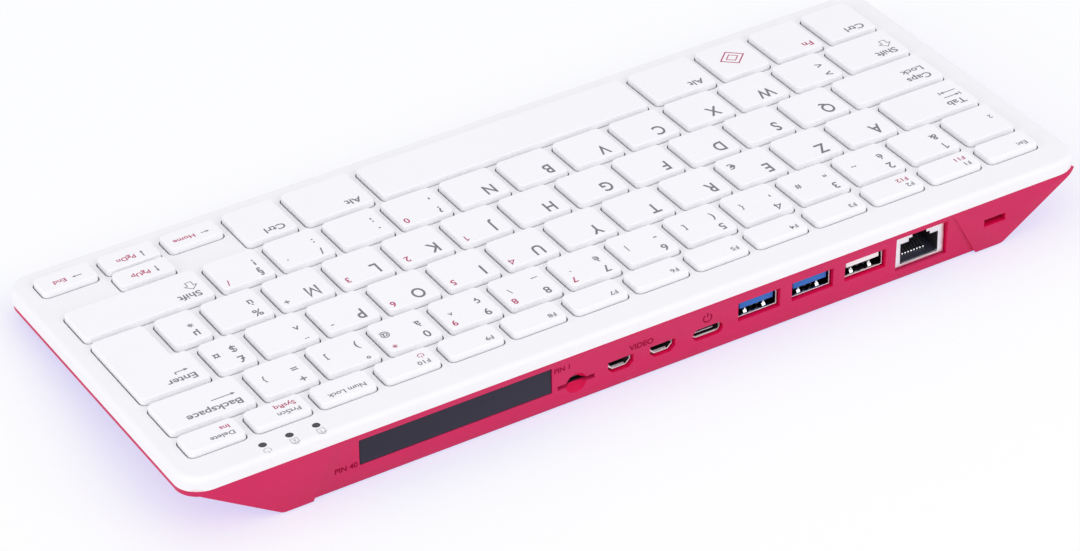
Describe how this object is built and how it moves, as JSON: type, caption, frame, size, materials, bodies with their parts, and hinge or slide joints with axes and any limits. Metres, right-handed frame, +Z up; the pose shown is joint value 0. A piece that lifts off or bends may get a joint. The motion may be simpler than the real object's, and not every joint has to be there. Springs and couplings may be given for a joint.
{
  "type": "keyboard computer",
  "caption": "Compact keyboard with a computer inside its wedge-shaped case: a white deck of sprung keys over a crimson base with a row of sockets along the back.",
  "frame": {"origin": "centre of the outline, on the plane under the feet", "axes": "+X to the typist's right, +Y to the rear where the sockets are, +Z up"},
  "size_m": [0.2884, 0.122, 0.0228],
  "materials": {
    "crimson_plastic": "fine satin moulding",
    "white_plastic": "satin moulding",
    "key_plastic": "satin moulding with printed legends",
    "foot_rubber": "matt",
    "frame_plastic": "plain",
    "dome_rubber": "translucent",
    "membrane_film": "film",
    "plate_steel": "rolled",
    "shell_steel": "tinned sheet",
    "smoked_plastic": "smoked light pipe",
    "circuit_board": "solder mask",
    "chip_metal": "satin lid",
    "black_plastic": "moulded",
    "blue_plastic": "moulded",
    "tongue_white": "moulded",
    "pad_rubber": "soft",
    "spreader_aluminium": "rolled sheet",
    "contact_gold": "plated",
    "cover_plastic": "satin"
  },
  "bodies": {
    "chassis": {"base_case": "crimson_plastic", "keyboard_deck": "white_plastic", "rubber_feet": "foot_rubber", "key_guide_frame": "frame_plastic", "dome_sheet": "dome_rubber", "membrane_circuit": "membrane_film", "keyboard_backplate": "plate_steel", "keyboard_ribbon": "membrane_film", "led_light_pipes": "smoked_plastic", "main_board": "circuit_board", "processor": "chip_metal", "board_chips": "black_plastic", "thermal_pad": "pad_rubber", "heat_spreader": "spreader_aluminium", "board_screws": "plate_steel", "network_shell": "shell_steel", "network_insert": "black_plastic", "network_contacts": "contact_gold", "data_shells": "shell_steel", "fast_data_tongues": "blue_plastic", "data_tongue": "tongue_white", "small_socket_shells": "shell_steel", "small_socket_tongues": "black_plastic", "pin_header": "black_plastic", "header_pins": "contact_gold", "card_socket": "shell_steel"},
    "header_cover": {"header_cover": "cover_plastic"},
    "key_a": {"key_a": "key_plastic"},
    "key_b": {"key_b": "key_plastic"},
    "key_c": {"key_c": "key_plastic"},
    "key_d": {"key_d": "key_plastic"},
    "key_e": {"key_e": "key_plastic"},
    "key_f": {"key_f": "key_plastic"},
    "key_g": {"key_g": "key_plastic"},
    "key_h": {"key_h": "key_plastic"},
    "key_i": {"key_i": "key_plastic"},
    "key_j": {"key_j": "key_plastic"},
    "key_k": {"key_k": "key_plastic"},
    "key_l": {"key_l": "key_plastic"},
    "key_m": {"key_m": "key_plastic"},
    "key_n": {"key_n": "key_plastic"},
    "key_o": {"key_o": "key_plastic"},
    "key_p": {"key_p": "key_plastic"},
    "key_q": {"key_q": "key_plastic"},
    "key_r": {"key_r": "key_plastic"},
    "key_s": {"key_s": "key_plastic"},
    "key_t": {"key_t": "key_plastic"},
    "key_u": {"key_u": "key_plastic"},
    "key_v": {"key_v": "key_plastic"},
    "key_w": {"key_w": "key_plastic"},
    "key_x": {"key_x": "key_plastic"},
    "key_y": {"key_y": "key_plastic"},
    "key_z": {"key_z": "key_plastic"},
    "space_bar": {"space_bar": "key_plastic"},
    "enter_key": {"enter_key": "key_plastic"},
    "function_row_keys": {"function_row_keys": "key_plastic"},
    "number_row_keys": {"number_row_keys": "key_plastic"},
    "symbol_keys": {"symbol_keys": "key_plastic"},
    "control_keys": {"control_keys": "key_plastic"}
  },
  "joints": [
    {"name": "header_cover_pull", "type": "slide", "parent": "chassis", "child": "header_cover", "axis": [0, 1, 0], "range_m": [0, 0.012]},
    {"name": "space_bar_press", "type": "slide", "parent": "chassis", "child": "space_bar", "axis": [0, 0.0976, -0.9952], "range_m": [0, 0.0014], "stiffness_N_per_m": 150, "springref_m": -0.0015, "deforming": ["dome_sheet"]},
    {"name": "enter_key_press", "type": "slide", "parent": "chassis", "child": "enter_key", "axis": [0, 0.0976, -0.9952], "range_m": [0, 0.0014], "stiffness_N_per_m": 150, "springref_m": -0.0015, "deforming": ["dome_sheet"]},
    {"name": "function_row_keys_press", "type": "slide", "parent": "chassis", "child": "function_row_keys", "axis": [0, 0.0976, -0.9952], "range_m": [0, 0.0014], "stiffness_N_per_m": 2100, "springref_m": -0.0015, "deforming": ["dome_sheet"]},
    {"name": "number_row_keys_press", "type": "slide", "parent": "chassis", "child": "number_row_keys", "axis": [0, 0.0976, -0.9952], "range_m": [0, 0.0014], "stiffness_N_per_m": 1950, "springref_m": -0.0015, "deforming": ["dome_sheet"]},
    {"name": "symbol_keys_press", "type": "slide", "parent": "chassis", "child": "symbol_keys", "axis": [0, 0.0976, -0.9952], "range_m": [0, 0.0014], "stiffness_N_per_m": 1350, "springref_m": -0.0015, "deforming": ["dome_sheet"]},
    {"name": "control_keys_press", "type": "slide", "parent": "chassis", "child": "control_keys", "axis": [0, 0.0976, -0.9952], "range_m": [0, 0.0014], "stiffness_N_per_m": 2250, "springref_m": -0.0015, "deforming": ["dome_sheet"]},
    {"name": "key_a_press", "type": "slide", "parent": "chassis", "child": "key_a", "axis": [0, 0.0976, -0.9952], "range_m": [0, 0.0014], "stiffness_N_per_m": 150, "springref_m": -0.0015, "deforming": ["dome_sheet"]},
    {"name": "key_b_press", "type": "slide", "parent": "chassis", "child": "key_b", "axis": [0, 0.0976, -0.9952], "range_m": [0, 0.0014], "stiffness_N_per_m": 150, "springref_m": -0.0015, "deforming": ["dome_sheet"]},
    {"name": "key_c_press", "type": "slide", "parent": "chassis", "child": "key_c", "axis": [0, 0.0976, -0.9952], "range_m": [0, 0.0014], "stiffness_N_per_m": 150, "springref_m": -0.0015, "deforming": ["dome_sheet"]},
    {"name": "key_d_press", "type": "slide", "parent": "chassis", "child": "key_d", "axis": [0, 0.0976, -0.9952], "range_m": [0, 0.0014], "stiffness_N_per_m": 150, "springref_m": -0.0015, "deforming": ["dome_sheet"]},
    {"name": "key_e_press", "type": "slide", "parent": "chassis", "child": "key_e", "axis": [0, 0.0976, -0.9952], "range_m": [0, 0.0014], "stiffness_N_per_m": 150, "springref_m": -0.0015, "deforming": ["dome_sheet"]},
    {"name": "key_f_press", "type": "slide", "parent": "chassis", "child": "key_f", "axis": [0, 0.0976, -0.9952], "range_m": [0, 0.0014], "stiffness_N_per_m": 150, "springref_m": -0.0015, "deforming": ["dome_sheet"]},
    {"name": "key_g_press", "type": "slide", "parent": "chassis", "child": "key_g", "axis": [0, 0.0976, -0.9952], "range_m": [0, 0.0014], "stiffness_N_per_m": 150, "springref_m": -0.0015, "deforming": ["dome_sheet"]},
    {"name": "key_h_press", "type": "slide", "parent": "chassis", "child": "key_h", "axis": [0, 0.0976, -0.9952], "range_m": [0, 0.0014], "stiffness_N_per_m": 150, "springref_m": -0.0015, "deforming": ["dome_sheet"]},
    {"name": "key_i_press", "type": "slide", "parent": "chassis", "child": "key_i", "axis": [0, 0.0976, -0.9952], "range_m": [0, 0.0014], "stiffness_N_per_m": 150, "springref_m": -0.0015, "deforming": ["dome_sheet"]},
    {"name": "key_j_press", "type": "slide", "parent": "chassis", "child": "key_j", "axis": [0, 0.0976, -0.9952], "range_m": [0, 0.0014], "stiffness_N_per_m": 150, "springref_m": -0.0015, "deforming": ["dome_sheet"]},
    {"name": "key_k_press", "type": "slide", "parent": "chassis", "child": "key_k", "axis": [0, 0.0976, -0.9952], "range_m": [0, 0.0014], "stiffness_N_per_m": 150, "springref_m": -0.0015, "deforming": ["dome_sheet"]},
    {"name": "key_l_press", "type": "slide", "parent": "chassis", "child": "key_l", "axis": [0, 0.0976, -0.9952], "range_m": [0, 0.0014], "stiffness_N_per_m": 150, "springref_m": -0.0015, "deforming": ["dome_sheet"]},
    {"name": "key_m_press", "type": "slide", "parent": "chassis", "child": "key_m", "axis": [0, 0.0976, -0.9952], "range_m": [0, 0.0014], "stiffness_N_per_m": 150, "springref_m": -0.0015, "deforming": ["dome_sheet"]},
    {"name": "key_n_press", "type": "slide", "parent": "chassis", "child": "key_n", "axis": [0, 0.0976, -0.9952], "range_m": [0, 0.0014], "stiffness_N_per_m": 150, "springref_m": -0.0015, "deforming": ["dome_sheet"]},
    {"name": "key_o_press", "type": "slide", "parent": "chassis", "child": "key_o", "axis": [0, 0.0976, -0.9952], "range_m": [0, 0.0014], "stiffness_N_per_m": 150, "springref_m": -0.0015, "deforming": ["dome_sheet"]},
    {"name": "key_p_press", "type": "slide", "parent": "chassis", "child": "key_p", "axis": [0, 0.0976, -0.9952], "range_m": [0, 0.0014], "stiffness_N_per_m": 150, "springref_m": -0.0015, "deforming": ["dome_sheet"]},
    {"name": "key_q_press", "type": "slide", "parent": "chassis", "child": "key_q", "axis": [0, 0.0976, -0.9952], "range_m": [0, 0.0014], "stiffness_N_per_m": 150, "springref_m": -0.0015, "deforming": ["dome_sheet"]},
    {"name": "key_r_press", "type": "slide", "parent": "chassis", "child": "key_r", "axis": [0, 0.0976, -0.9952], "range_m": [0, 0.0014], "stiffness_N_per_m": 150, "springref_m": -0.0015, "deforming": ["dome_sheet"]},
    {"name": "key_s_press", "type": "slide", "parent": "chassis", "child": "key_s", "axis": [0, 0.0976, -0.9952], "range_m": [0, 0.0014], "stiffness_N_per_m": 150, "springref_m": -0.0015, "deforming": ["dome_sheet"]},
    {"name": "key_t_press", "type": "slide", "parent": "chassis", "child": "key_t", "axis": [0, 0.0976, -0.9952], "range_m": [0, 0.0014], "stiffness_N_per_m": 150, "springref_m": -0.0015, "deforming": ["dome_sheet"]},
    {"name": "key_u_press", "type": "slide", "parent": "chassis", "child": "key_u", "axis": [0, 0.0976, -0.9952], "range_m": [0, 0.0014], "stiffness_N_per_m": 150, "springref_m": -0.0015, "deforming": ["dome_sheet"]},
    {"name": "key_v_press", "type": "slide", "parent": "chassis", "child": "key_v", "axis": [0, 0.0976, -0.9952], "range_m": [0, 0.0014], "stiffness_N_per_m": 150, "springref_m": -0.0015, "deforming": ["dome_sheet"]},
    {"name": "key_w_press", "type": "slide", "parent": "chassis", "child": "key_w", "axis": [0, 0.0976, -0.9952], "range_m": [0, 0.0014], "stiffness_N_per_m": 150, "springref_m": -0.0015, "deforming": ["dome_sheet"]},
    {"name": "key_x_press", "type": "slide", "parent": "chassis", "child": "key_x", "axis": [0, 0.0976, -0.9952], "range_m": [0, 0.0014], "stiffness_N_per_m": 150, "springref_m": -0.0015, "deforming": ["dome_sheet"]},
    {"name": "key_y_press", "type": "slide", "parent": "chassis", "child": "key_y", "axis": [0, 0.0976, -0.9952], "range_m": [0, 0.0014], "stiffness_N_per_m": 150, "springref_m": -0.0015, "deforming": ["dome_sheet"]},
    {"name": "key_z_press", "type": "slide", "parent": "chassis", "child": "key_z", "axis": [0, 0.0976, -0.9952], "range_m": [0, 0.0014], "stiffness_N_per_m": 150, "springref_m": -0.0015, "deforming": ["dome_sheet"]}
  ]
}
